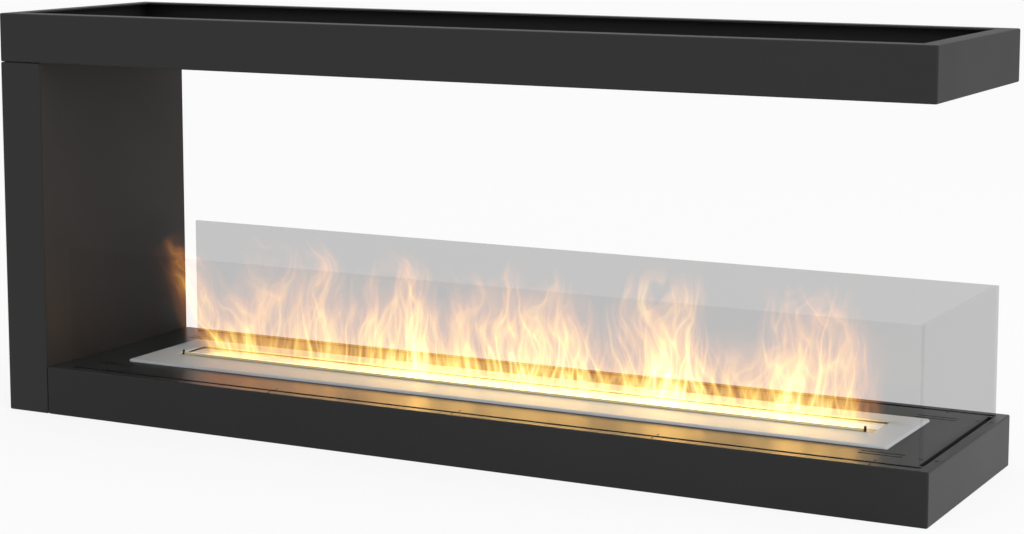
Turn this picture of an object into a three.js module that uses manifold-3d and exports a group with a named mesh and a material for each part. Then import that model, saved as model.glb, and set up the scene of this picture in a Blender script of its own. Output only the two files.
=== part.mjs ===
// Freestanding bioethanol fireplace: a low base with a long burner, a column at its left end and
// an open box over the whole length, with glass on three sides of the fire.
// Millimetres, +Z up. The origin is on the floor, in the middle of the footprint.
// +X runs along the fireplace, away from the column, and +Y points to its back.
import * as THREE from 'three';
import { RoundedBoxGeometry } from 'three/addons/geometries/RoundedBoxGeometry.js';
import { mergeVertices } from 'three/addons/utils/BufferGeometryUtils.js';
import Module from 'manifold-3d';

// Envelope of the whole fireplace
const overallLength = 1200;
const overallDepth = 300;
const overallHeight = 500;

// The three sheet steel boxes of the housing
const baseHeight = 60;
const columnWidth = 60;
const topBoxHeight = 60;
const seam = 0.5;
const sheet = 2;
const foldRadius = 2;
const bottomFlange = 12;
const topRim = 22;
const panelSheet = 1.5;
const panelReturn = 12;

// Clearances
const touchGap = 0.25;
const passGap = 0.5;
const cutOverrun = 5;

// Glass panes and the slots that they stand in
const glassThickness = 5;
const glassRise = 150;
const glassSeatDepth = 18;
const slotWidth = 6;
const slotInset = 15.5;
const slotBridge = 4.5;
const glassToColumn = 30;

// Channels that carry the panes under the slots, held by tabs in paired slits
const longPaneTabs = 5;
const sidePaneTabs = 2;
const tabEndInset = 47;
const sideTabInset = 22.5;
const channelSheet = 1.5;
const tabOffset = 8.5;
const tabWidth = 5;
const tabSink = 1;
const sealThickness = 3;

// Vent slits near the burner's ends
const ventLength = 49;
const ventWidth = 3;
const ventEndInset = 45;
const ventEdgeInsets = [50, 60];

// Burner insert
const burnerEndMargin = 70;
const burnerWidth = 150;
const flangeRise = 3;
const flangeSheet = 1.5;
const flangeEdgeRadius = 2.5;
const flangeCornerRadius = 3;
const openingEndMargin = 35;
const openingWidth = 60;
const openingOffset = 10;
const tankEndMargin = 16;
const tankWidth = 132;
const tankDepth = 49.5;
const tankSheet = 1.5;
const fleeceGap = 0.5;
const fleeceToDamper = 0.35;

// Damper, a plate that slides under the flange
const damperSheet = 1.25;
const damperLap = 2;
const damperEndLap = 5;
const damperOpenStrip = 36;
const guideSheet = 1.5;
const guideLip = 5;
const guideGap = 0.5;
const damperLift = 0.25;
const damperHeadroom = 0.5;
const pullBarEndGap = 8;
const pullBarThickness = 2;
const pullBarRise = 3.5;
const pullBarSetback = 22;
const studRadius = 1.5;
const studRise = 6;

// Burner well under the base's cut-out
const cutoutGap = 3;
const wellGap = 2;
const wellSheet = 1.25;
const wellLip = 8;

// Frame inside the housing
const floorSheet = 1.5;
const railWidth = 18;
const railWall = 1.5;
const railEndWall = 4;
const railToSlot = 2.5;
const postWidth = 40;
const postWall = 2;
const postToPanel = 3;
const footPlate = 3;
const headPlate = 4;
const beamWidth = 30;
const beamWall = 2;
const beamEndGap = 8;
const tieWidth = 30;

// Bolts, weld nuts and screws
const boltRadius = 4;
const boltHoleRadius = 4.5;
const boltHeadFlats = 13;
const boltHeadHeight = 5;
const nutHeight = 6.5;
const boltTail = 8;
const beamBoltInset = 10;
const railBoltHeightShares = [0.28, 0.74];
const screwRadius = 2;
const screwHeadRadius = 3.5;
const screwLength = 8;
const screwSink = 0.25;
const screwLand = 0.25;
const longSideScrews = 3;
const endScrews = 2;
const screwEndInset = 130;
const endScrewInset = 100;

// Facets of the round forms
const foldSegments = 2;
const edgeSegments = 3;
const boltSides = 16;
const screwSides = 12;
const studSides = 16;
const hexSides = 6;

// Finishes
const steelBlack = { color: 0x2d2d2e, roughness: 0.5, metalness: 0.1 };
const panelBlack = { color: 0x302c2a, roughness: 0.55, metalness: 0.1 };
const frameSteel = { color: 0x4a4c4e, roughness: 0.6, metalness: 0.6 };
const zincSteel = { color: 0x9a9c9e, roughness: 0.4, metalness: 0.9 };
const stainless = { color: 0xa9a8a6, roughness: 0.32, metalness: 1 };
const innerStainless = { color: 0x8e8c89, roughness: 0.4, metalness: 1 };
const tintedSteel = { color: 0x3a2a24, roughness: 0.45, metalness: 0.8 };
const ceramicWhite = { color: 0xebe6e0, roughness: 0.95, metalness: 0 };
const greyGlass = { color: 0x9fa1a2, roughness: 0.05, metalness: 0, transparent: true, opacity: 0.3 };
const blackRubber = { color: 0x1c1c1c, roughness: 0.85, metalness: 0 };

// Places that several pieces share, in the fireplace's own frame
const leftEnd = -overallLength / 2;
const rightEnd = overallLength / 2;
const columnInner = leftEnd + columnWidth;
const columnMiddle = leftEnd + columnWidth / 2;
const baseMiddle = (columnInner + rightEnd) / 2;
const topBoxBottom = overallHeight - topBoxHeight;
const columnHeight = topBoxBottom - seam;

// The base's own frame: origin on the floor, under the middle of its top
const baseLeft = columnInner + seam - baseMiddle;
const baseRight = rightEnd - baseMiddle;
const halfDepth = overallDepth / 2;
const wallInside = halfDepth - sheet;
const baseUnderside = baseHeight - sheet;
const floorTop = sheet + floorSheet;
const slotY = halfDepth - slotInset;
const sideSlotX = baseRight - slotInset;
const glassLeft = columnInner + glassToColumn - baseMiddle;
const longSlotRight = sideSlotX + slotWidth / 2;
const sideSlotHalf = slotY - slotWidth / 2 - slotBridge;
const paneBottom = baseHeight - glassSeatDepth;
const paneTop = baseHeight + glassRise;
const channelHalfSpan = tabOffset + tabWidth / 2 + passGap;
const railOuter = slotY - channelHalfSpan - railToSlot;
const railInner = railOuter - railWidth;
const railMiddle = (railInner + railOuter) / 2;
const railRight = sideSlotX - channelHalfSpan - railToSlot;
const burnerLength = rightEnd - columnInner - 2 * burnerEndMargin;
const tankLength = burnerLength - 2 * tankEndMargin;
const cutoutX = tankLength / 2 + cutoutGap;
const cutoutY = tankWidth / 2 + cutoutGap;
const railBoltHeights = railBoltHeightShares.map((share) => floorTop + share * (baseUnderside - floorTop));

// The column's own frame: origin on the floor, under its middle
const panelFront = columnWidth / 2;
const panelBack = panelFront - panelSheet;
const panelHalf = wallInside - touchGap;
const postRight = panelBack - postToPanel;
const postLeft = postRight - postWidth;
const footTop = sheet + footPlate;
const headTop = topBoxBottom;
const headBottom = headTop - headPlate;
const railLeft = columnMiddle + postRight - baseMiddle;

// The burner's own frame: origin on the base's top, over the middle of the cut-out
const flangeUnderside = flangeRise - flangeSheet;
const openingLength = burnerLength - 2 * openingEndMargin;
const openingFront = openingOffset - openingWidth / 2;
const openingBack = openingOffset + openingWidth / 2;
const tankBottom = flangeUnderside - tankDepth;
const damperTop = flangeUnderside - damperHeadroom;
const damperBottom = damperTop - damperSheet;
const guideLipTop = damperBottom - damperLift;
const guideBottom = guideLipTop - guideSheet;
const damperHalfLength = openingLength / 2 + damperEndLap;
const guideWeb = damperHalfLength + guideGap;
const damperBack = openingBack - damperOpenStrip;
const damperFront = damperBack - openingWidth - 2 * damperLap;
const pullBarY = damperBack - pullBarSetback;

const wasm = await Module();
wasm.setup();

// Solids from three.js geometry, and back

function toSolid(geometry) {
  geometry.deleteAttribute('normal');
  geometry.deleteAttribute('uv');
  const merged = mergeVertices(geometry);
  const vertProperties = new Float32Array(merged.attributes.position.array);
  const triVerts = new Uint32Array(merged.index.array);
  return new wasm.Manifold(new wasm.Mesh({ numProp: 3, vertProperties, triVerts }));
}

function toGeometry(solid) {
  const mesh = solid.getMesh();
  const geometry = new THREE.BufferGeometry();
  geometry.setAttribute('position', new THREE.BufferAttribute(new Float32Array(mesh.vertProperties), 3));
  geometry.setIndex(new THREE.BufferAttribute(new Uint32Array(mesh.triVerts), 1));
  geometry.computeVertexNormals();
  return geometry;
}

function joined(solids) {
  return solids.reduce((whole, solid) => whole.add(solid));
}

// A box from its ranges along X, Y and Z
function block([x0, x1], [y0, y1], [z0, z1]) {
  const geometry = new THREE.BoxGeometry(x1 - x0, y1 - y0, z1 - z0);
  geometry.translate((x0 + x1) / 2, (y0 + y1) / 2, (z0 + z1) / 2);
  return toSolid(geometry);
}

// The same box with soft folds along all its edges
function foldedBlock([x0, x1], [y0, y1], [z0, z1]) {
  const geometry = new RoundedBoxGeometry(x1 - x0, y1 - y0, z1 - z0, foldSegments, foldRadius);
  geometry.translate((x0 + x1) / 2, (y0 + y1) / 2, (z0 + z1) / 2);
  return toSolid(geometry);
}

function span(middle, length) {
  return [middle - length / 2, middle + length / 2];
}

function around(half) {
  return [-half, half];
}

function mirroredRange([low, high]) {
  return [-high, -low];
}

// A rectangular tube along one axis, open at both ends
function tube(axis, x, y, z, wall) {
  const bore = ([low, high], along) => {
    return along ? [low - cutOverrun, high + cutOverrun] : [low + wall, high - wall];
  };
  return block(x, y, z).subtract(block(bore(x, axis === 'x'), bore(y, axis === 'y'), bore(z, axis === 'z')));
}

// An upright round or many-sided rod that stands at a place
function uprightRod(x, y, [z0, z1], radius, sides) {
  const geometry = new THREE.CylinderGeometry(radius, radius, z1 - z0, sides);
  geometry.rotateX(Math.PI / 2);
  geometry.translate(x, y, (z0 + z1) / 2);
  return toSolid(geometry);
}

// The same rod lying along X
function lyingRod([x0, x1], y, z, radius, sides) {
  const geometry = new THREE.CylinderGeometry(radius, radius, x1 - x0, sides);
  geometry.rotateZ(Math.PI / 2);
  geometry.translate((x0 + x1) / 2, y, z);
  return toSolid(geometry);
}

const hexRadius = boltHeadFlats / Math.sqrt(3);

// Places that repeat

const bothSides = [-1, 1];

function spread(count, [first, last]) {
  return Array.from({ length: count }, (unused, index) => first + (last - first) * index / (count - 1));
}

// Base

const screwLine = wallInside - bottomFlange / 2;
const endScrewLine = baseRight - sheet - bottomFlange / 2;
const longSideScrewPlaces = spread(longSideScrews, [baseLeft + screwEndInset, baseRight - screwEndInset]);
const endScrewPlaces = spread(endScrews, around(halfDepth - endScrewInset));
const screwPlaces = [
  ...bothSides.flatMap((side) => longSideScrewPlaces.map((x) => [x, side * screwLine])),
  ...endScrewPlaces.map((y) => [endScrewLine, y]),
];

// A countersunk screw, head down; its hole is the same shape, wider by a gap and open below
function screwShape(x, y, grow, headEnd) {
  const outline = [
    [0, headEnd],
    [screwHeadRadius + grow, headEnd],
    [screwHeadRadius + grow, screwSink + screwLand],
    [screwRadius + grow, screwSink + screwLand + screwHeadRadius - screwRadius],
    [screwRadius + grow, screwLength + grow],
    [0, screwLength + grow],
  ];
  const geometry = new THREE.LatheGeometry(outline.map(([r, z]) => new THREE.Vector2(r, z)), screwSides);
  geometry.rotateX(Math.PI / 2);
  geometry.translate(x, y, 0);
  return toSolid(geometry);
}

function baseScrew([x, y]) {
  return screwShape(x, y, 0, screwSink);
}

function screwHoles() {
  return joined(screwPlaces.map(([x, y]) => screwShape(x, y, touchGap, -cutOverrun)));
}

// Cuts and boxes that run along a slot: the long panes' slots run along X, the side pane's along Y
function slotBlock(axis, along, across, z) {
  return axis === 'x' ? block(along, across, z) : block(across, along, z);
}

const longSlot = [glassLeft - passGap, longSlotRight];
const longChannel = [glassLeft, sideSlotX - slotWidth / 2 - passGap];
const longTabs = spread(longPaneTabs, [longChannel[0] + tabEndInset, longChannel[1] - tabEndInset]);
const sideChannelHalf = slotY - channelHalfSpan - passGap;
const sideChannel = around(sideChannelHalf);
const sideTabs = spread(sidePaneTabs, around(sideChannelHalf - sideTabInset));
const slots = [
  { axis: 'x', line: -slotY, along: longSlot, channel: longChannel, places: longTabs },
  { axis: 'x', line: slotY, along: longSlot, channel: longChannel, places: longTabs },
  { axis: 'y', line: sideSlotX, along: around(sideSlotHalf), channel: sideChannel, places: sideTabs },
];
const [frontSlot, rearSlot, sideSlot] = slots;
const throughTop = [baseUnderside - cutOverrun, baseHeight + cutOverrun];

function slotCut({ axis, line, along }) {
  return slotBlock(axis, along, span(line, slotWidth), throughTop);
}

function tabSlits({ axis, line, places }) {
  const slits = places.flatMap((place) => bothSides.map((side) => {
    const across = span(line + side * tabOffset, tabWidth + passGap);
    return slotBlock(axis, span(place, channelSheet + passGap), across, throughTop);
  }));
  return joined(slits);
}

function ventSlits() {
  const outer = baseRight - ventEndInset;
  const right = [outer - ventLength, outer];
  const slits = ventEdgeInsets.flatMap((inset) => bothSides.flatMap((side) => {
    const across = span(side * (halfDepth - inset), ventWidth);
    return [block(right, across, throughTop), block(mirroredRange(right), across, throughTop)];
  }));
  return joined(slits);
}

function railWindows(x, z) {
  return joined(bothSides.map((side) => block(x, span(side * railMiddle, railWidth + 2 * passGap), z)));
}

function baseCasing() {
  const shell = foldedBlock([baseLeft, baseRight], around(halfDepth), [0, baseHeight]);
  const insideX = [baseLeft + sheet, baseRight - sheet];
  const openBelowX = [baseLeft + sheet + bottomFlange, baseRight - sheet - bottomFlange];
  const cuts = [
    block(insideX, around(wallInside), [sheet, baseUnderside]),
    block(openBelowX, around(wallInside - bottomFlange), [-cutOverrun, sheet + cutOverrun]),
    block(around(cutoutX), around(cutoutY), throughTop),
    railWindows([baseLeft - cutOverrun, baseLeft + sheet + cutOverrun], [floorTop - passGap, baseUnderside]),
    ventSlits(),
    screwHoles(),
    ...slots.map(slotCut),
    ...slots.map(tabSlits),
  ];
  return shell.subtract(joined(cuts));
}

function baseFloorPlate() {
  const x = [baseLeft + sheet + touchGap, baseRight - sheet - touchGap];
  const plate = block(x, around(wallInside - touchGap), [sheet, floorTop]);
  return plate.subtract(screwHoles());
}

// A rail with a closed left end, and a weld nut behind it for each bolt
function baseRail(side) {
  const across = span(side * railMiddle, railWidth);
  const height = [floorTop, baseUnderside];
  const nutStart = railLeft + railEndWall;
  const endWall = block([railLeft, nutStart], across, height);
  const rodsAt = (x, radius, sides) => {
    return joined(railBoltHeights.map((z) => lyingRod(x, side * railMiddle, z, radius, sides)));
  };
  const nuts = rodsAt([nutStart, nutStart + nutHeight], hexRadius, hexSides);
  const bores = rodsAt([railLeft - cutOverrun, nutStart + nutHeight + cutOverrun], boltHoleRadius, boltSides);
  const rail = tube('x', [railLeft, railRight], across, height, railWall);
  return joined([rail, endWall, nuts]).subtract(bores);
}

// Glass channels: a trough under the slot with a flange on both sides and tabs up into the slits

const sealBottom = paneBottom - sealThickness;
const channelBottom = sealBottom - channelSheet;

function channelSide({ axis, line, channel, places }, side) {
  const across = (from, to) => [line + side * from, line + side * to].sort((a, b) => a - b);
  const legOuter = slotWidth / 2 + channelSheet;
  const flangeHeight = [baseUnderside - channelSheet, baseUnderside];
  const leg = slotBlock(axis, channel, across(slotWidth / 2, legOuter), [channelBottom, baseUnderside]);
  const flange = slotBlock(axis, channel, across(legOuter, channelHalfSpan), flangeHeight);
  const tabAcross = span(line + side * tabOffset, tabWidth);
  const tabHeight = [baseUnderside - channelSheet, baseHeight - tabSink];
  const tabs = places.map((place) => slotBlock(axis, span(place, channelSheet), tabAcross, tabHeight));
  return joined([leg, flange, ...tabs]);
}

function glassChannel(slot) {
  const width = slotWidth + 2 * channelSheet;
  const seat = slotBlock(slot.axis, slot.channel, span(slot.line, width), [channelBottom, sealBottom]);
  return joined([seat, channelSide(slot, -1), channelSide(slot, 1)]);
}

function glassSeal({ axis, line, channel }) {
  return slotBlock(axis, channel, span(line, slotWidth - 2 * touchGap), [sealBottom, paneBottom]);
}

// Column

const columnHalf = columnWidth / 2;
const columnThroughX = -columnHalf + sheet + bottomFlange;
const columnThroughY = wallInside - bottomFlange;

function columnCasing() {
  const shell = foldedBlock(around(columnHalf), around(halfDepth), [0, columnHeight]);
  const pastBothEnds = [-cutOverrun, columnHeight + cutOverrun];
  const cuts = [
    block(around(columnHalf - sheet), around(wallInside), [sheet, columnHeight - sheet]),
    block([columnHalf - sheet, columnHalf + cutOverrun], around(wallInside), pastBothEnds),
    block([columnThroughX, columnHalf + cutOverrun], around(columnThroughY), pastBothEnds),
  ];
  return shell.subtract(joined(cuts));
}

// The casing is open towards the fire; a pan with its returns inside the casing's walls closes it
function columnInnerPanel() {
  const bottom = sheet + touchGap;
  const returnHeight = [bottom, columnHeight - sheet - touchGap];
  const inside = around(panelHalf - panelSheet);
  const pastPan = [panelFront - panelReturn - cutOverrun, panelBack];
  const throughPanel = [panelBack - cutOverrun, panelFront + cutOverrun];
  const face = block([panelBack, panelFront], around(panelHalf), [bottom, topBoxBottom - touchGap]);
  const returns = block([panelFront - panelReturn, panelBack], around(panelHalf), returnHeight)
    .subtract(block(pastPan, inside, [-cutOverrun, columnHeight + cutOverrun]));
  return face.add(returns).subtract(railWindows(throughPanel, [0, baseUnderside + passGap]));
}

function columnFootPlate() {
  const x = [-columnHalf + sheet + touchGap, postRight];
  return block(x, around(panelHalf - panelSheet - touchGap), [sheet, footTop]);
}

const beamBoltPlaces = [postLeft + beamBoltInset, postRight - beamBoltInset].flatMap((x) => {
  return bothSides.map((side) => [x, side * railMiddle]);
});

function uprightRods(places, z, radius, sides) {
  return joined(places.map(([x, y]) => uprightRod(x, y, z, radius, sides)));
}

// The head plate stands proud of the casing by the seam, with a weld nut under each bolt hole
function columnHeadPlate() {
  const x = [columnThroughX + passGap, postRight];
  const plate = block(x, around(columnThroughY - passGap), [headBottom, headTop]);
  const nutBottom = headBottom - nutHeight;
  const nuts = uprightRods(beamBoltPlaces, [nutBottom, headBottom], hexRadius, hexSides);
  const through = [nutBottom - cutOverrun, headTop + cutOverrun];
  return plate.add(nuts).subtract(uprightRods(beamBoltPlaces, through, boltHoleRadius, boltSides));
}

function columnPost(side) {
  const across = span(side * railMiddle, postWidth);
  const post = tube('z', [postLeft, postRight], across, [footTop, headBottom], postWall);
  const holes = railBoltHeights.map((z) => {
    const through = [postLeft - cutOverrun, postRight + cutOverrun];
    return lyingRod(through, side * railMiddle, z, boltHoleRadius, boltSides);
  });
  return post.subtract(joined(holes));
}

function railBolt(side, z) {
  const y = side * railMiddle;
  const headStart = postLeft - boltHeadHeight;
  const end = postRight + railEndWall + boltTail;
  const head = lyingRod([headStart, postLeft], y, z, hexRadius, hexSides);
  return head.add(lyingRod([headStart, end], y, z, boltRadius, boltSides));
}

// Top box, in its own frame: origin in the middle of its underside

const beamLeft = columnMiddle + postLeft;
const beamRight = rightEnd - sheet - beamEndGap;
const beamHeight = [sheet, sheet + beamWidth];
const tieHalf = railMiddle - beamWidth / 2;
const topBoltPlaces = beamBoltPlaces.map(([x, y]) => [columnMiddle + x, y]);

function topBoxCasing() {
  const shell = foldedBlock([leftEnd, rightEnd], around(halfDepth), [0, topBoxHeight]);
  const mouthX = [leftEnd + topRim, rightEnd - topRim];
  const mouthHeight = [topBoxHeight - sheet - cutOverrun, topBoxHeight + cutOverrun];
  const cuts = [
    block([leftEnd + sheet, rightEnd - sheet], around(wallInside), [sheet, topBoxHeight - sheet]),
    block(mouthX, around(halfDepth - topRim), mouthHeight),
    uprightRods(topBoltPlaces, [-cutOverrun, sheet + cutOverrun], boltHoleRadius, boltSides),
  ];
  return shell.subtract(joined(cuts));
}

function topBeam(side) {
  const beam = tube('x', [beamLeft, beamRight], span(side * railMiddle, beamWidth), beamHeight, beamWall);
  const places = topBoltPlaces.filter(([, y]) => y * side > 0);
  const through = [-cutOverrun, beamHeight[1] + cutOverrun];
  return beam.subtract(uprightRods(places, through, boltHoleRadius, boltSides));
}

function topTie(x) {
  return tube('y', x, around(tieHalf), beamHeight, beamWall);
}

function beamBolt([x, y]) {
  const top = beamHeight[1];
  const head = uprightRod(x, y, [top, top + boltHeadHeight], hexRadius, hexSides);
  return head.add(uprightRod(x, y, [-headPlate - boltTail, top + boltHeadHeight], boltRadius, boltSides));
}

// Burner

function burnerWell() {
  const insideX = cutoutX + wellGap;
  const insideY = cutoutY + wellGap;
  const outsideX = insideX + wellSheet;
  const outsideY = insideY + wellSheet;
  const top = -sheet;
  const bottom = floorTop - baseHeight;
  const body = block(around(outsideX), around(outsideY), [bottom, top]);
  const lip = block(around(outsideX + wellLip), around(outsideY + wellLip), [top - wellSheet, top]);
  const inside = block(around(insideX), around(insideY), [bottom + wellSheet, top + cutOverrun]);
  return body.add(lip).subtract(inside);
}

function roundedRectangle(length, width, radius) {
  const x = length / 2;
  const y = width / 2;
  const shape = new THREE.Shape();
  shape.moveTo(-x + radius, -y);
  shape.lineTo(x - radius, -y);
  shape.absarc(x - radius, -y + radius, radius, -Math.PI / 2, 0);
  shape.lineTo(x, y - radius);
  shape.absarc(x - radius, y - radius, radius, 0, Math.PI / 2);
  shape.lineTo(-x + radius, y);
  shape.absarc(-x + radius, y - radius, radius, Math.PI / 2, Math.PI);
  shape.lineTo(-x, -y + radius);
  shape.absarc(-x + radius, -y + radius, radius, Math.PI, Math.PI * 1.5);
  return shape;
}

// A shallow pan, upside down, with a rounded edge and the fire opening through it
function burnerFlange() {
  const outline = roundedRectangle(burnerLength, burnerWidth, flangeCornerRadius);
  const geometry = new THREE.ExtrudeGeometry(outline, {
    depth: flangeRise,
    bevelThickness: flangeEdgeRadius,
    bevelSize: flangeEdgeRadius,
    bevelOffset: -flangeEdgeRadius,
    bevelSegments: edgeSegments,
    curveSegments: edgeSegments,
  });
  geometry.translate(0, 0, -flangeEdgeRadius);
  const halfX = burnerLength / 2;
  const halfY = burnerWidth / 2;
  const belowBase = [-flangeEdgeRadius - cutOverrun, 0];
  const below = block(around(halfX + cutOverrun), around(halfY + cutOverrun), belowBase);
  const pocketX = around(halfX - flangeEdgeRadius);
  const pocketY = around(halfY - flangeEdgeRadius);
  const pocket = block(pocketX, pocketY, [-cutOverrun, flangeUnderside]);
  const throughFlange = [-cutOverrun, flangeRise + cutOverrun];
  const opening = block(around(openingLength / 2), [openingFront, openingBack], throughFlange);
  return toSolid(geometry).subtract(joined([below, pocket, opening]));
}

const tankInsideX = tankLength / 2 - tankSheet;
const tankInsideY = tankWidth / 2 - tankSheet;

function fuelTank() {
  const outer = block(around(tankLength / 2), around(tankWidth / 2), [tankBottom, flangeUnderside]);
  const inner = [tankBottom + tankSheet, flangeUnderside + cutOverrun];
  return outer.subtract(block(around(tankInsideX), around(tankInsideY), inner));
}

function ceramicFleece() {
  const x = around(guideWeb - guideLip - fleeceGap);
  const y = around(tankInsideY - fleeceGap);
  return block(x, y, [tankBottom + tankSheet, damperBottom - fleeceToDamper]);
}

function damperGuide(side) {
  const webOuter = guideWeb + guideSheet;
  const rangeX = (from, to) => side > 0 ? [from, to] : mirroredRange([from, to]);
  const y = around(tankInsideY - passGap);
  const web = block(rangeX(guideWeb, webOuter), y, [guideBottom, flangeUnderside]);
  const lip = block(rangeX(guideWeb - guideLip, webOuter), y, [guideBottom, guideLipTop]);
  return web.add(lip);
}

function damperPlate() {
  return block(around(damperHalfLength), [damperFront, damperBack], [damperBottom, damperTop]);
}

const studX = openingLength / 2 - pullBarEndGap - studRadius;

function pullBar() {
  const x = around(studX - studRadius - touchGap);
  return block(x, span(pullBarY, pullBarThickness), [damperTop, flangeRise + pullBarRise]);
}

function pullBarStud(side) {
  return uprightRod(side * studX, pullBarY, [damperTop, flangeRise + studRise], studRadius, studSides);
}

// Assembly

const group = new THREE.Group();

function addGroup(parent, x, y, z) {
  const child = new THREE.Group();
  child.position.set(x, y, z);
  parent.add(child);
  return child;
}

function addPiece(parent, name, solid, finish) {
  const mesh = new THREE.Mesh(toGeometry(solid), new THREE.MeshStandardMaterial(finish));
  mesh.name = name;
  parent.add(mesh);
  return mesh;
}

function addPane(parent, name, x, y) {
  const size = [x[1] - x[0], y[1] - y[0], paneTop - paneBottom];
  const mesh = new THREE.Mesh(new THREE.BoxGeometry(...size), new THREE.MeshStandardMaterial(greyGlass));
  mesh.name = name;
  mesh.position.set((x[0] + x[1]) / 2, (y[0] + y[1]) / 2, (paneBottom + paneTop) / 2);
  parent.add(mesh);
}

const base = addGroup(group, baseMiddle, 0, 0);
addPiece(base, 'base_casing', baseCasing(), steelBlack);
addPiece(base, 'base_floor_plate', baseFloorPlate(), steelBlack);
addPiece(base, 'base_rail_front', baseRail(-1), frameSteel);
addPiece(base, 'base_rail_rear', baseRail(1), frameSteel);
screwPlaces.forEach((place, index) => addPiece(base, `base_screw_${index + 1}`, baseScrew(place), zincSteel));
[['front', frontSlot], ['rear', rearSlot], ['side', sideSlot]].forEach(([name, slot]) => {
  addPiece(base, `glass_channel_${name}`, glassChannel(slot), frameSteel);
  addPiece(base, `glass_seal_${name}`, glassSeal(slot), blackRubber);
});

const longPane = [glassLeft, longSlotRight - passGap];
addPane(base, 'front_glass', longPane, span(-slotY, glassThickness));
addPane(base, 'rear_glass', longPane, span(slotY, glassThickness));
addPane(base, 'side_glass', span(sideSlotX, glassThickness), around(sideSlotHalf - passGap));

const column = addGroup(group, columnMiddle, 0, 0);
addPiece(column, 'column_casing', columnCasing(), steelBlack);
addPiece(column, 'column_inner_panel', columnInnerPanel(), panelBlack);
addPiece(column, 'column_foot_plate', columnFootPlate(), frameSteel);
addPiece(column, 'column_head_plate', columnHeadPlate(), frameSteel);
addPiece(column, 'column_post_front', columnPost(-1), frameSteel);
addPiece(column, 'column_post_rear', columnPost(1), frameSteel);
railBoltHeights.forEach((z, index) => {
  addPiece(column, `rail_bolt_front_${index + 1}`, railBolt(-1, z), zincSteel);
  addPiece(column, `rail_bolt_rear_${index + 1}`, railBolt(1, z), zincSteel);
});

const topBox = addGroup(group, 0, 0, topBoxBottom);
addPiece(topBox, 'top_box_casing', topBoxCasing(), steelBlack);
addPiece(topBox, 'top_beam_front', topBeam(-1), frameSteel);
addPiece(topBox, 'top_beam_rear', topBeam(1), frameSteel);
addPiece(topBox, 'top_tie_left', topTie([beamLeft, beamLeft + tieWidth]), frameSteel);
addPiece(topBox, 'top_tie_right', topTie([beamRight - tieWidth, beamRight]), frameSteel);
topBoltPlaces.forEach((place, index) => {
  addPiece(topBox, `beam_bolt_${index + 1}`, beamBolt(place), zincSteel);
});

const burner = addGroup(base, 0, 0, baseHeight);
addPiece(burner, 'burner_well', burnerWell(), zincSteel);
addPiece(burner, 'burner_flange', burnerFlange(), stainless);
addPiece(burner, 'fuel_tank', fuelTank(), innerStainless);
addPiece(burner, 'ceramic_fleece', ceramicFleece(), ceramicWhite);
addPiece(burner, 'damper_guide_left', damperGuide(-1), innerStainless);
addPiece(burner, 'damper_guide_right', damperGuide(1), innerStainless);
addPiece(burner, 'damper_plate', damperPlate(), innerStainless);
addPiece(burner, 'damper_pull_bar', pullBar(), innerStainless);
addPiece(burner, 'pull_bar_stud_left', pullBarStud(-1), tintedSteel);
addPiece(burner, 'pull_bar_stud_right', pullBarStud(1), tintedSteel);

export default group;
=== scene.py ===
"""Looks of the freestanding bioethanol fireplace: its paint, steel, glass and fire, on a pale floor.

Metres, +Z up. +X runs along the fireplace, away from the column, and +Y points to its back.
"""

import math

import bmesh
import bpy
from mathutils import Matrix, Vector


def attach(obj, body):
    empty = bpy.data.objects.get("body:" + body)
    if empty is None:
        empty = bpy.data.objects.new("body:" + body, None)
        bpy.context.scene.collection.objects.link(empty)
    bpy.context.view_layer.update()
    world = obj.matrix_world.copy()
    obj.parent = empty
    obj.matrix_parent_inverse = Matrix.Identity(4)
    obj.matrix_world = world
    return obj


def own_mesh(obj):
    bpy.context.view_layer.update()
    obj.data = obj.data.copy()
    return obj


# Camera
CAMERA_PLACE = (1.324, -2.454, 0.671)
CAMERA_YAW = 27.66
CAMERA_TILT = 7.49
CAMERA_LENS = 83.3
CAMERA_SHIFT = -0.08

# Floor, room and lamp
FLOOR_SIZE = 40.0
FLOOR_COLOUR = 0.86
FLOOR_CLOUD = 0.01
FLOOR_OWN_WHITE = 0.85
ROOM_WHITE = 1.0
ROOM_LIGHT = 0.85
LAMP_PLACE = (3.4, -1.2, 1.6)
LAMP_AIM = (0.0, 0.0, 0.2)
LAMP_SIZE = 2.0
LAMP_POWER = 60.0

# Places of a Mix node's colour sockets
MIX_FIRST = 6
MIX_SECOND = 7
MIX_RESULT = 2

# Where most values of a noise lie
NOISE_LOW = 0.3
NOISE_HIGH = 0.7
STROKE_LOW = 0.25
STROKE_HIGH = 0.75
NOISE_MIDDLE = 0.5

# Paint
PAINT_GRAIN_SHARE = 0.3
PAINT_UNEVEN = 0.03

# Steel: how its brush strokes are stretched, and the heights of the pull bar's painted firelight, a gold band
# along its lower edge
FLANGE_STROKES = (2.0, 900.0, 900.0)
BAR_STROKES = (3.0, 700.0, 700.0)
BAR_FIRELIGHT_BAND = (0.0642, 0.066)
BAR_FIRELIGHT_WAVE = 0.0006

# Felt and zinc
FELT_FIBRES = (90.0, 400.0, 400.0)
ZINC_SCUFFS = (1.0, 1.0, 6.0)

# Glass: how much light a face lets through, and what it mirrors
CLEAR_GLASS = 0.957
GREY_GLASS = 0.757
GLASS_FILM = 0.005
MIRROR_IOR = 1.25
MIRROR_SHARE = 0.1

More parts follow.
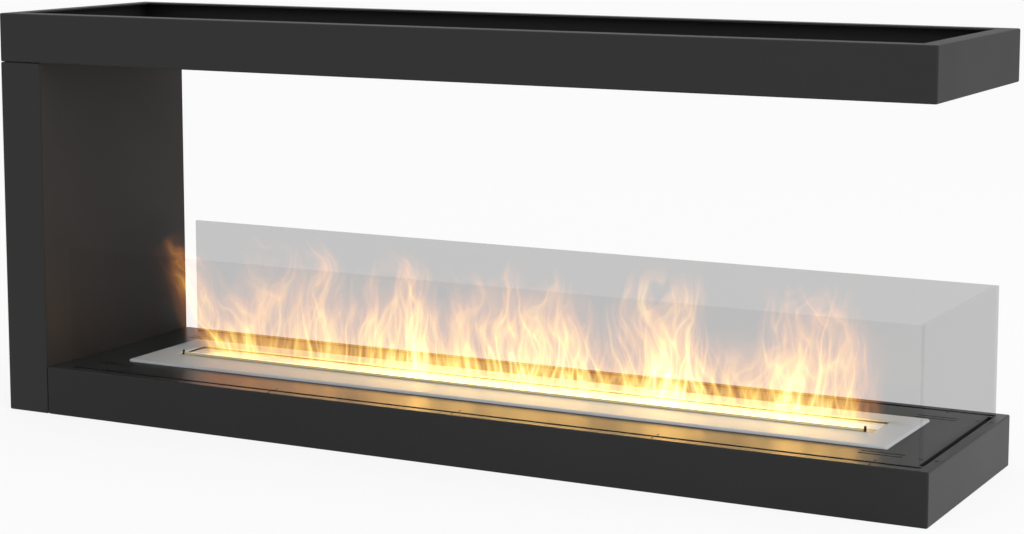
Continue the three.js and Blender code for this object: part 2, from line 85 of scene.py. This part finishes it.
# Fire: its sheets
FLAME_LEFT = -0.505
FLAME_RIGHT = 0.525
FLAME_BOTTOM = 0.0595
FLAME_HEIGHT = 0.17
FLAME_COLUMNS = 150
FLAME_ROWS = 14
GRID_HALF = 0.5
FLAME_SHEETS = {
    "flame_front": {"y": 0.013, "swing": 0.006, "waves": 1.6, "phase": 0.4, "seed": 2.0},
    "flame_middle": {"y": 0.022, "swing": 0.010, "waves": 1.3, "phase": 2.1, "seed": 5.0},
    "flame_rear": {"y": 0.031, "swing": 0.006, "waves": 1.9, "phase": 4.0, "seed": 8.0},
}

# Fire: where its ends stand, how far they lean out per metre of height, and how far in the left lean goes
LEFT_ROOT = -0.436
LEFT_LEAN = 0.6
LEAN_REACH = 0.12
RIGHT_ROOT = 0.493
RIGHT_LEAN = 0.12

# Fire: its noises, each with its scale along and up the fire and its place in the noise
BROAD_SWIRL = {"scale": (8.0, 7.0), "seed": 1.0, "amount": 0.25}
SMALL_SWIRL = {"scale": (30.0, 18.0), "seed": 7.0, "amount": 0.06}
TONGUES = {"scale": (17.0, 1.0), "seed": 3.0}
CROWDS = {"scale": (11.0, 1.0), "seed": 21.0}
THREADS = {"scale": (40.0, 8.0), "seed": 11.0, "sharpness": 4.5}
HAIRS = {"scale": (110.0, 14.0), "seed": 17.0, "sharpness": 7.0}
THREAD_SLOPE = 3.2
THREAD_WEIGHT = 0.7
HAIR_WEIGHT = 0.25
VEIL_WEIGHT = 0.14
BODY_CURVE = 1.25
ROOT_CURVE = 9.0
ROOT_WEIGHT = 0.05

# Fire: ranges, each with a value's low and high and what these become
TONGUE_REACH = (0.32, 0.68, 0.5, 1.0)
CROWD_REACH = (0.34, 0.62, 0.72, 1.25)
BODY_FADE = (0.1, 1.0, 1.0, 0.0)
TALL_POWER = (0.35, 1.1, 0.45, 1.35)
LOW_POWER = (0.0, 0.1, 0.35, 1.0)
TOP_FADE = (0.8, 1.0, 1.0, 0.0)
END_EDGE = (0.0, 0.04, 0.0, 1.0)
LEFT_FADE = (0.02, 0.34, 0.3, 1.0)
RIGHT_FADE = (0.02, 0.14, 0.5, 1.0)
LICK_START = (0.02, 0.04, 0.0, 1.0)
LICK_END = (0.06, 0.12, 0.7, 0.0)

# Fire: how it is seen, and the light that it casts and that polish mirrors
FLAME_COVER = 0.1
SEEN_STRENGTH = 9.0
SEEN_COLOURS = (
    (0.0, (1.0, 0.28, 0.06)),
    (0.2, (1.0, 0.42, 0.06)),
    (0.5, (1.0, 0.65, 0.13)),
    (1.0, (1.0, 0.86, 0.4)),
)
CAST_STRENGTH = 46.0
CAST_COLOUR = (1.0, 0.78, 0.28)
MIRRORED_STRENGTH = 88.0
MIRRORED_COLOUR = (1.0, 0.56, 0.13)
MIRRORED_LEFT = (1.0, 0.34, 0.08)
CAST_FULL_BELOW = 0.08
CAST_WEAK_ABOVE = 0.5
CAST_WEAK = 2.0
CAST_FULL_FROM = -0.1
CAST_LEFT_SHARE = 0.4


def linear(red, green, blue):
    """A colour of 0 to 255 as the shader takes it."""
    shares = [value / 255 for value in (red, green, blue)]
    return tuple(s / 12.92 if s <= 0.04045 else ((s + 0.055) / 1.055) ** 2.4 for s in shares)


def grey(value):
    return (value, value, value)


def opaque(colour):
    return (*colour, 1.0)


WHITE = grey(1.0)


class Graph:
    """The nodes of a material or of the room, with a short call for each kind."""

    def __init__(self, owner, surface="Principled BSDF"):
        owner.use_nodes = True
        self.owner = owner
        self.tree = owner.node_tree
        self.surface = self.tree.nodes[surface]

    def add(self, kind, **settings):
        node = self.tree.nodes.new(kind)
        for key, value in settings.items():
            setattr(node, key, value)
        return node

    def put(self, value, socket):
        if isinstance(value, bpy.types.NodeSocket):
            self.tree.links.new(value, socket)
        else:
            socket.default_value = value

    def place(self, stretch=(1.0, 1.0, 1.0)):
        """The point on the object, with its axes stretched."""
        mapping = self.add("ShaderNodeMapping")
        self.put(self.add("ShaderNodeTexCoord").outputs["Object"], mapping.inputs["Vector"])
        self.put(stretch, mapping.inputs["Scale"])
        return mapping.outputs["Vector"]

    def noise(self, point, scale, detail, roughness=0.5):
        node = self.add("ShaderNodeTexNoise")
        self.put(point, node.inputs["Vector"])
        self.put(scale, node.inputs["Scale"])
        self.put(detail, node.inputs["Detail"])
        self.put(roughness, node.inputs["Roughness"])
        return node.outputs["Fac"]

    def cells(self, point, scale):
        node = self.add("ShaderNodeTexVoronoi")
        self.put(point, node.inputs["Vector"])
        self.put(scale, node.inputs["Scale"])
        return node.outputs["Color"]

    def split(self, vector):
        node = self.add("ShaderNodeSeparateXYZ")
        self.put(vector, node.inputs[0])
        return node.outputs

    def math(self, operation, first, second=0.0, clamp=False):
        node = self.add("ShaderNodeMath", operation=operation, use_clamp=clamp)
        self.put(first, node.inputs[0])
        self.put(second, node.inputs[1])
        return node.outputs[0]

    def add_up(self, first, second, *more):
        total = self.math("ADD", first, second)
        return self.add_up(total, *more) if more else total

    def times(self, first, second, *more):
        product = self.math("MULTIPLY", first, second)
        return self.times(product, *more) if more else product

    def between(self, value, low, high, start=0.0, end=1.0):
        """The value's range low to high, moved to start to end."""
        node = self.add("ShaderNodeMapRange")
        self.put(value, node.inputs["Value"])
        self.put(low, node.inputs["From Min"])
        self.put(high, node.inputs["From Max"])
        self.put(start, node.inputs["To Min"])
        self.put(end, node.inputs["To Max"])
        return node.outputs["Result"]

    def ramp(self, value, *stops):
        """Colours along a value: each stop is a place and a colour."""
        node = self.add("ShaderNodeValToRGB")
        band = node.color_ramp
        while len(band.elements) < len(stops):
            band.elements.new(1.0)
        for element, (place, colour) in zip(band.elements, stops):
            element.position = place
            element.color = opaque(colour)
        self.put(value, node.inputs["Fac"])
        return node.outputs["Color"]

    def tones(self, value, dark, light, low=NOISE_LOW, high=NOISE_HIGH):
        """Dark where a noise is low and light where it is high."""
        return self.ramp(value, (low, dark), (high, light))

    def spread(self, value, start, end):
        """From start where a noise is low to end where it is high."""
        return self.between(value, NOISE_LOW, NOISE_HIGH, start, end)

    def mix(self, share, first, second):
        """The first colour at a share of 0 and the second at 1."""
        node = self.add("ShaderNodeMix", data_type="RGBA")
        self.put(share, node.inputs["Factor"])
        self.put(first, node.inputs[MIX_FIRST])
        self.put(second, node.inputs[MIX_SECOND])
        return node.outputs[MIX_RESULT]

    def seen(self):
        """1 for a ray of sight: straight from the camera, mirrored, or through glass."""
        path = self.add("ShaderNodeLightPath")
        last = self.math("ADD", path.outputs["Is Camera Ray"], path.outputs["Is Glossy Ray"])
        return self.math("ADD", last, path.outputs["Is Transmission Ray"], clamp=True)

    def bump(self, height, depth, strength):
        node = self.add("ShaderNodeBump")
        self.put(strength, node.inputs["Strength"])
        self.put(depth, node.inputs["Distance"])
        self.put(height, node.inputs["Height"])
        self.set(Normal=node.outputs["Normal"])

    def set(self, **values):
        for key, value in values.items():
            self.put(value, self.surface.inputs[key.replace("_", " ")])

    def show(self, shader):
        self.put(shader, self.tree.nodes["Material Output"].inputs["Surface"])


def new_finish(name):
    """The graph of a new material."""
    return Graph(bpy.data.materials.new(name))


def powder_coat(name, dark, light, roughness, shine):
    """Matt paint with a fine orange-peel texture."""
    g = new_finish(name)
    cloud = g.noise(g.place(), scale=7.0, detail=3.0)
    grain = g.noise(g.place(), scale=850.0, detail=2.0)
    tone = g.add_up(g.times(cloud, 1 - PAINT_GRAIN_SHARE), g.times(grain, PAINT_GRAIN_SHARE))
    g.set(Base_Color=g.tones(tone, dark, light))
    g.set(Roughness=g.spread(cloud, roughness - PAINT_UNEVEN, roughness + PAINT_UNEVEN))
    g.set(Specular_IOR_Level=shine)
    g.bump(grain, depth=0.00006, strength=0.5)
    return g.owner


def primed_steel():
    """Grey primed tube and plate of the frame."""
    g = new_finish("primed_steel")
    cloud = g.noise(g.place(), scale=14.0, detail=4.0)
    grain = g.noise(g.place(), scale=600.0, detail=2.0)
    g.set(Base_Color=g.tones(cloud, linear(62, 64, 66), linear(78, 80, 82)))
    g.set(Roughness=g.spread(grain, 0.5, 0.62))
    g.set(Metallic=0.3)
    g.bump(grain, depth=0.00008, strength=0.5)
    return g.owner


def zinc_plate():
    """Zinc plated steel with its faint spangle."""
    g = new_finish("zinc_plate")
    spangle = g.cells(g.place(), scale=160.0)
    scuffs = g.noise(g.place(ZINC_SCUFFS), scale=90.0, detail=3.0)
    dark, light = linear(150, 153, 156), linear(176, 178, 180)
    g.set(Base_Color=g.tones(spangle, dark, light, low=0.1, high=0.9))
    g.set(Roughness=g.spread(scuffs, 0.3, 0.46))
    g.set(Metallic=1.0)
    g.bump(scuffs, depth=0.00003, strength=0.3)
    return g.owner


def brushed_steel(name, dark, light, metal, smooth, rough):
    """Stainless steel, brushed along its length."""
    g = new_finish(name)
    strokes = g.noise(g.place(FLANGE_STROKES), scale=1.0, detail=4.0, roughness=0.6)
    cloud = g.noise(g.place(), scale=9.0, detail=2.0)
    g.set(Base_Color=g.tones(cloud, dark, light))
    g.set(Roughness=g.between(strokes, STROKE_LOW, STROKE_HIGH, smooth, rough))
    g.set(Metallic=metal, Specular_IOR_Level=0.05)
    g.bump(strokes, depth=0.00002, strength=0.35)
    return g.owner


def bar_steel():
    """The pull bar's pale steel, with the fire's light painted on as a gold band along its lower edge."""
    g = new_finish("bar_steel")
    strokes = g.noise(g.place(BAR_STROKES), scale=1.0, detail=4.0, roughness=0.6)
    height = g.split(g.place())[2]
    # Painted firelight: gold below a wavy height near the bar's lower edge, pale steel above it
    firelight_share = g.between(g.add_up(height, g.times(strokes, BAR_FIRELIGHT_WAVE)), *BAR_FIRELIGHT_BAND)
    pale, firelight_gold = linear(255, 246, 222), linear(255, 236, 180)
    g.set(Base_Color=g.ramp(firelight_share, (0.0, firelight_gold), (1.0, pale)))
    g.set(Roughness=g.between(strokes, STROKE_LOW, STROKE_HIGH, 0.16, 0.26))
    g.set(Metallic=1.0)
    g.bump(strokes, depth=0.00002, strength=0.3)
    return g.owner


def tinted_steel():
    """Steel end pieces browned by the fire's heat."""
    g = new_finish("tinted_steel")
    cloud = g.noise(g.place(), scale=300.0, detail=3.0)
    g.set(Base_Color=g.tones(cloud, linear(46, 34, 30), linear(78, 52, 38)))
    g.set(Roughness=g.spread(cloud, 0.35, 0.5))
    g.set(Metallic=0.8)
    return g.owner


def ceramic_felt():
    """White fibre felt that soaks up the fuel."""
    g = new_finish("ceramic_felt")
    fibres = g.noise(g.place(FELT_FIBRES), scale=1.0, detail=5.0, roughness=0.7)
    lumps = g.noise(g.place(), scale=60.0, detail=3.0)
    g.set(Base_Color=g.tones(lumps, linear(232, 229, 225), linear(243, 241, 238)))
    g.set(Roughness=g.spread(fibres, 0.9, 1.0))
    g.set(Specular_IOR_Level=0.1)
    g.bump(g.add_up(fibres, lumps), depth=0.0006, strength=0.6)
    return g.owner


def silicone():
    """Black rubber of the glass seals."""
    g = new_finish("silicone")
    grain = g.noise(g.place(), scale=500.0, detail=3.0)
    g.set(Base_Color=g.tones(grain, linear(22, 22, 22), linear(32, 32, 32)))
    g.set(Roughness=g.spread(grain, 0.7, 0.85))
    g.bump(grain, depth=0.00005, strength=0.4)
    return g.owner


def pane(name, clear):
    """Thin flat glass: it lets a share of the light through and mirrors a little of the room."""
    g = new_finish(name)
    film = g.noise(g.place(), scale=3.0, detail=2.0)
    through = g.add("ShaderNodeBsdfTransparent")
    dark, light = grey(clear * (1 - GLASS_FILM)), grey(min(1.0, clear * (1 + GLASS_FILM)))
    g.put(g.tones(film, dark, light), through.inputs["Color"])
    mirror = g.add("ShaderNodeBsdfGlossy")
    g.put(opaque(WHITE), mirror.inputs["Color"])
    g.put(g.spread(film, 0.01, 0.03), mirror.inputs["Roughness"])
    shine = g.add("ShaderNodeFresnel")
    g.put(MIRROR_IOR, shine.inputs["IOR"])
    front = g.math("SUBTRACT", 1.0, g.add("ShaderNodeNewGeometry").outputs["Backfacing"])
    glass = g.add("ShaderNodeMixShader")
    g.put(g.times(shine.outputs[0], front, MIRROR_SHARE), glass.inputs[0])
    g.put(through.outputs[0], glass.inputs[1])
    g.put(mirror.outputs[0], glass.inputs[2])
    g.tree.nodes.remove(g.surface)
    g.show(glass.outputs[0])
    return g.owner


def fire_noise(g, along, height, scale, seed, detail=1.0, roughness=0.5):
    """A noise with its own scale along and up the fire."""
    point = g.add("ShaderNodeCombineXYZ")
    g.put(g.times(along, scale[0]), point.inputs[0])
    g.put(g.times(height, scale[1]), point.inputs[1])
    g.put(seed, point.inputs[2])
    return g.noise(point.outputs[0], 1.0, detail, roughness)


def swirl(g, along, height, rise, scale, seed, amount):
    """How far one size of swirl pushes a point along the fire, more towards the tips."""
    value = fire_noise(g, along, height, scale, seed)
    return g.times(g.math("SUBTRACT", value, NOISE_MIDDLE), amount, rise)


def strands(g, along, height, scale, seed, sharpness):
    """Bright upright threads where a noise crosses its middle value."""
    value = fire_noise(g, along, height, scale, seed)
    off = g.math("ABSOLUTE", g.times(g.math("SUBTRACT", value, NOISE_MIDDLE), THREAD_SLOPE))
    return g.math("POWER", g.math("SUBTRACT", 1.0, off, clamp=True), sharpness)


def left_lean(g, place, height):
    """How far the fire's left end leans out over the column's side at a height."""
    return g.times(height, g.between(place, LEFT_ROOT, LEFT_ROOT + LEAN_REACH, LEFT_LEAN, 0.0))


def end_fade(g, place, height):
    """Full in the burner's middle, weak near its ends and nothing past them, where the fire leans out."""
    left = g.add_up(g.math("SUBTRACT", place, LEFT_ROOT), g.times(height, LEFT_LEAN))
    right = g.add_up(g.math("SUBTRACT", RIGHT_ROOT, place), g.times(height, RIGHT_LEAN))
    edge = g.between(g.math("MINIMUM", left, right), *END_EDGE)
    weak = g.math("MINIMUM", g.between(left, *LEFT_FADE), g.between(right, *RIGHT_FADE))
    lick = g.times(g.between(left, *LICK_START), g.between(left, *LICK_END))
    return g.times(edge, g.add_up(weak, lick))


def flame_body(g, place, along, broad, rise):
    """The fire's mass, which thins from its root to the tip of each tongue."""
    tongue = fire_noise(g, along, 0.0, detail=2.0, roughness=0.6, **TONGUES)
    crowd = fire_noise(g, g.add_up(place, broad), 0.0, **CROWDS)
    reach = g.times(g.between(tongue, *TONGUE_REACH), g.between(crowd, *CROWD_REACH))
    body = g.between(g.math("DIVIDE", rise, reach), *BODY_FADE)
    body = g.math("POWER", g.math("MAXIMUM", body, 0.0), BODY_CURVE)
    return g.times(body, g.between(reach, *TALL_POWER), g.between(rise, *LOW_POWER))


def flame_power(g, place, along, height, rise):
    """How dense the fire is at a point."""
    broad = swirl(g, along, height, rise, **BROAD_SWIRL)
    small = swirl(g, along, height, rise, **SMALL_SWIRL)
    bent = g.add_up(along, g.add_up(broad, small), left_lean(g, place, height))
    threads = g.times(strands(g, bent, height, **THREADS), THREAD_WEIGHT)
    hairs = g.times(strands(g, bent, height, **HAIRS), HAIR_WEIGHT)
    pattern = g.add_up(threads, hairs, VEIL_WEIGHT)
    body = g.times(pattern, flame_body(g, place, bent, broad, rise))
    root = g.math("POWER", g.math("SUBTRACT", 1.0, rise, clamp=True), ROOT_CURVE)
    power = g.add_up(body, g.times(root, ROOT_WEIGHT))
    return g.times(power, end_fade(g, place, height), g.between(rise, *TOP_FADE))


def flame_light(g, place, rise, power):
    """The fire as it is seen, and the stronger light of its root on what stands round it."""
    path = g.add("ShaderNodeLightPath")
    seen, mirrored = path.outputs["Is Camera Ray"], path.outputs["Is Glossy Ray"]
    full = g.between(place, LEFT_ROOT, CAST_FULL_FROM)
    mirrored_colour = g.mix(full, opaque(MIRRORED_LEFT), opaque(MIRRORED_COLOUR))
    cast_colour = g.mix(mirrored, opaque(CAST_COLOUR), mirrored_colour)
    strength = g.between(mirrored, 0.0, 1.0, CAST_STRENGTH, MIRRORED_STRENGTH)
    cast = g.between(rise, CAST_FULL_BELOW, CAST_WEAK_ABOVE, strength, CAST_WEAK)
    cast = g.times(cast, g.between(full, 0.0, 1.0, CAST_LEFT_SHARE, 1.0))
    g.set(Emission_Color=g.mix(seen, cast_colour, g.ramp(power, *SEEN_COLOURS)))
    g.set(Emission_Strength=g.between(seen, 0.0, 1.0, cast, SEEN_STRENGTH))


def flame():
    """Fire: a glow that is densest at its root and breaks into leaning threads and tips."""
    g = new_finish("flame")
    along, height, _ = g.split(g.add("ShaderNodeUVMap", uv_map="fire").outputs[0])
    place = g.add("ShaderNodeAttribute", attribute_name="fire_place").outputs["Fac"]
    rise = g.math("DIVIDE", height, FLAME_HEIGHT)
    power = flame_power(g, place, along, height, rise)
    flame_light(g, place, rise, power)
    g.set(Base_Color=opaque(grey(0.0)), Roughness=1.0, Specular_IOR_Level=0.0)
    g.set(Alpha=g.math("MULTIPLY", power, FLAME_COVER, clamp=True))
    return g.owner


def paints():
    """The housing's three coats of black; the column's inner panel coat is tinted warm brown, a painted glow
    of the fire on that side.
    """
    return {
        "black": powder_coat(
            "black_powder_coat", dark=grey(0.0175), light=grey(0.0205), roughness=0.6, shine=0.25
        ),
        "satin": powder_coat(
            "satin_powder_coat", dark=grey(0.027), light=grey(0.03), roughness=0.31, shine=0.06
        ),
        # Black tinted warm brown: the fire's glow on the column's inner side, painted into the coat
        "panel": powder_coat(
            "warm_glow_panel_paint", dark=(0.021, 0.0185, 0.0175), light=(0.024, 0.021, 0.02), roughness=0.6, shine=0.25
        ),
    }


def steels():
    """The burner's brushed steels: the matt flange, and the plain sheet below it."""
    return {
        "flange": brushed_steel(
            "brushed_steel", linear(196, 197, 199), linear(203, 204, 206), metal=0.08, smooth=0.4, rough=0.52
        ),
        "inner": brushed_steel(
            "inner_steel", linear(140, 138, 135), linear(150, 148, 145), metal=1.0, smooth=0.33, rough=0.45
        ),
    }


def finishes():
    """Each node's material, by its name or by how its name starts."""
    paint, steel = paints(), steels()
    primer, zinc, rubber = primed_steel(), zinc_plate(), silicone()
    return {
        "base_casing": paint["satin"],
        "base_floor_plate": paint["black"],
        "base_rail": primer,
        "base_screw": zinc,
        "glass_channel": paint["black"],
        "glass_seal": rubber,
        "column_casing": paint["black"],
        "column_inner_panel": paint["panel"],
        "column_foot": primer,
        "column_head": primer,
        "column_post": primer,
        "rail_bolt": zinc,
        "top_box_casing": paint["black"],
        "top_beam": primer,
        "top_tie": primer,
        "beam_bolt": zinc,
        "front_glass": pane("clear_glass", CLEAR_GLASS),
        "side_glass": pane("clear_side_glass", CLEAR_GLASS),
        "rear_glass": pane("grey_glass", GREY_GLASS),
        "burner_well": zinc,
        "burner_flange": steel["flange"],
        "fuel_tank": steel["inner"],
        "ceramic_fleece": ceramic_felt(),
        "damper_guide": steel["inner"],
        "damper_plate": steel["inner"],
        "damper_pull_bar": bar_steel(),
        "pull_bar_stud": tinted_steel(),
    }


def dress(frame):
    """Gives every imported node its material."""
    choices = finishes()
    for name, node in frame["nodes"].items():
        node.data.materials.clear()
        node.data.materials.append(next(m for start, m in choices.items() if name.startswith(start)))


def grid(columns, rows, half):
    """A flat square grid, still open for shaping."""
    form = bmesh.new()
    bmesh.ops.create_grid(form, x_segments=columns, y_segments=rows, size=half)
    return form


def make_piece(name, form, material):
    """Puts a shaped form in the scene as one piece."""
    mesh = bpy.data.meshes.new(name)
    form.to_mesh(mesh)
    form.free()
    mesh.materials.append(material)
    piece = bpy.data.objects.new(name, mesh)
    bpy.context.scene.collection.objects.link(piece)
    return piece


def flame_sheet(name, material, y, swing, waves, phase, seed):
    """One upright curtain of fire over the burner's opening, gently waved in plan."""
    form = grid(FLAME_COLUMNS, FLAME_ROWS, GRID_HALF)
    fire_map = form.loops.layers.uv.new("fire")
    fire_place = form.verts.layers.float.new("fire_place")
    length = FLAME_RIGHT - FLAME_LEFT
    for vertex in form.verts:
        along = FLAME_LEFT + (vertex.co.x + GRID_HALF) * length
        height = (vertex.co.y + GRID_HALF) * FLAME_HEIGHT
        wave = math.sin(phase + 2 * math.pi * waves * along / length)
        vertex[fire_place] = along
        vertex.co = Vector((along, y + swing * wave, FLAME_BOTTOM + height))
    for face in form.faces:
        face.smooth = True
        for loop in face.loops:
            loop[fire_map].uv = (loop.vert.co.x + seed, loop.vert.co.z - FLAME_BOTTOM)
    sheet = make_piece(name, form, material)
    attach(sheet, "burner")
    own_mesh(sheet)


def fire():
    material = flame()
    for name, settings in FLAME_SHEETS.items():
        flame_sheet(name, material, **settings)


def floor():
    """Pale floor that stays white and keeps a soft shadow."""
    g = new_finish("floor_white")
    cloud = g.noise(g.place(), scale=2.0, detail=2.0)
    g.set(Base_Color=g.tones(cloud, grey(FLOOR_COLOUR), grey(FLOOR_COLOUR + FLOOR_CLOUD)))
    g.set(Roughness=0.9, Specular_IOR_Level=0.1)
    glow = g.add("ShaderNodeEmission")
    g.put(opaque(grey(ROOM_WHITE)), glow.inputs["Color"])
    mixed = g.add("ShaderNodeMixShader")
    g.put(g.times(g.seen(), FLOOR_OWN_WHITE), mixed.inputs[0])
    g.put(g.surface.outputs[0], mixed.inputs[1])
    g.put(glow.outputs[0], mixed.inputs[2])
    g.show(mixed.outputs[0])
    make_piece("floor", grid(1, 1, FLOOR_SIZE / 2), g.owner)


def room():
    """White room: a plain soft light all round that shows as white."""
    world = bpy.data.worlds.new("room")
    bpy.context.scene.world = world
    g = Graph(world, surface="Background")
    g.set(Color=opaque(WHITE), Strength=g.between(g.seen(), 0.0, 1.0, ROOM_LIGHT, ROOM_WHITE))


def aim(place, target):
    return (Vector(target) - Vector(place)).to_track_quat("-Z", "Y").to_euler()


def lamp():
    """One large soft lamp from the right."""
    light = bpy.data.lights.new("key_lamp", "AREA")
    light.shape = "SQUARE"
    light.size = LAMP_SIZE
    light.energy = LAMP_POWER
    item = bpy.data.objects.new("key_lamp", light)
    item.location = LAMP_PLACE
    item.rotation_euler = aim(LAMP_PLACE, LAMP_AIM)
    item.visible_glossy = False
    bpy.context.scene.collection.objects.link(item)


def camera():
    data = bpy.data.cameras.new("camera")
    data.lens = CAMERA_LENS
    data.shift_y = CAMERA_SHIFT
    item = bpy.data.objects.new("camera", data)
    item.location = CAMERA_PLACE
    item.rotation_euler = (math.radians(90 - CAMERA_TILT), 0, math.radians(CAMERA_YAW))
    bpy.context.scene.collection.objects.link(item)
    bpy.context.scene.camera = item


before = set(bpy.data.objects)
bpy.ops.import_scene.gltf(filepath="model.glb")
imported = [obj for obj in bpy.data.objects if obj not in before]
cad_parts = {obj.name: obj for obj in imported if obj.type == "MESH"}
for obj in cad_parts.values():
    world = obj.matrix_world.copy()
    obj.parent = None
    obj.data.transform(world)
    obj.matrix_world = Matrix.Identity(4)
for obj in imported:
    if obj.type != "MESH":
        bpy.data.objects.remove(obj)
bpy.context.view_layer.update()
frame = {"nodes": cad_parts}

dress(frame)
fire()
floor()
room()
lamp()
camera()
bpy.context.scene.view_settings.view_transform = "Standard"
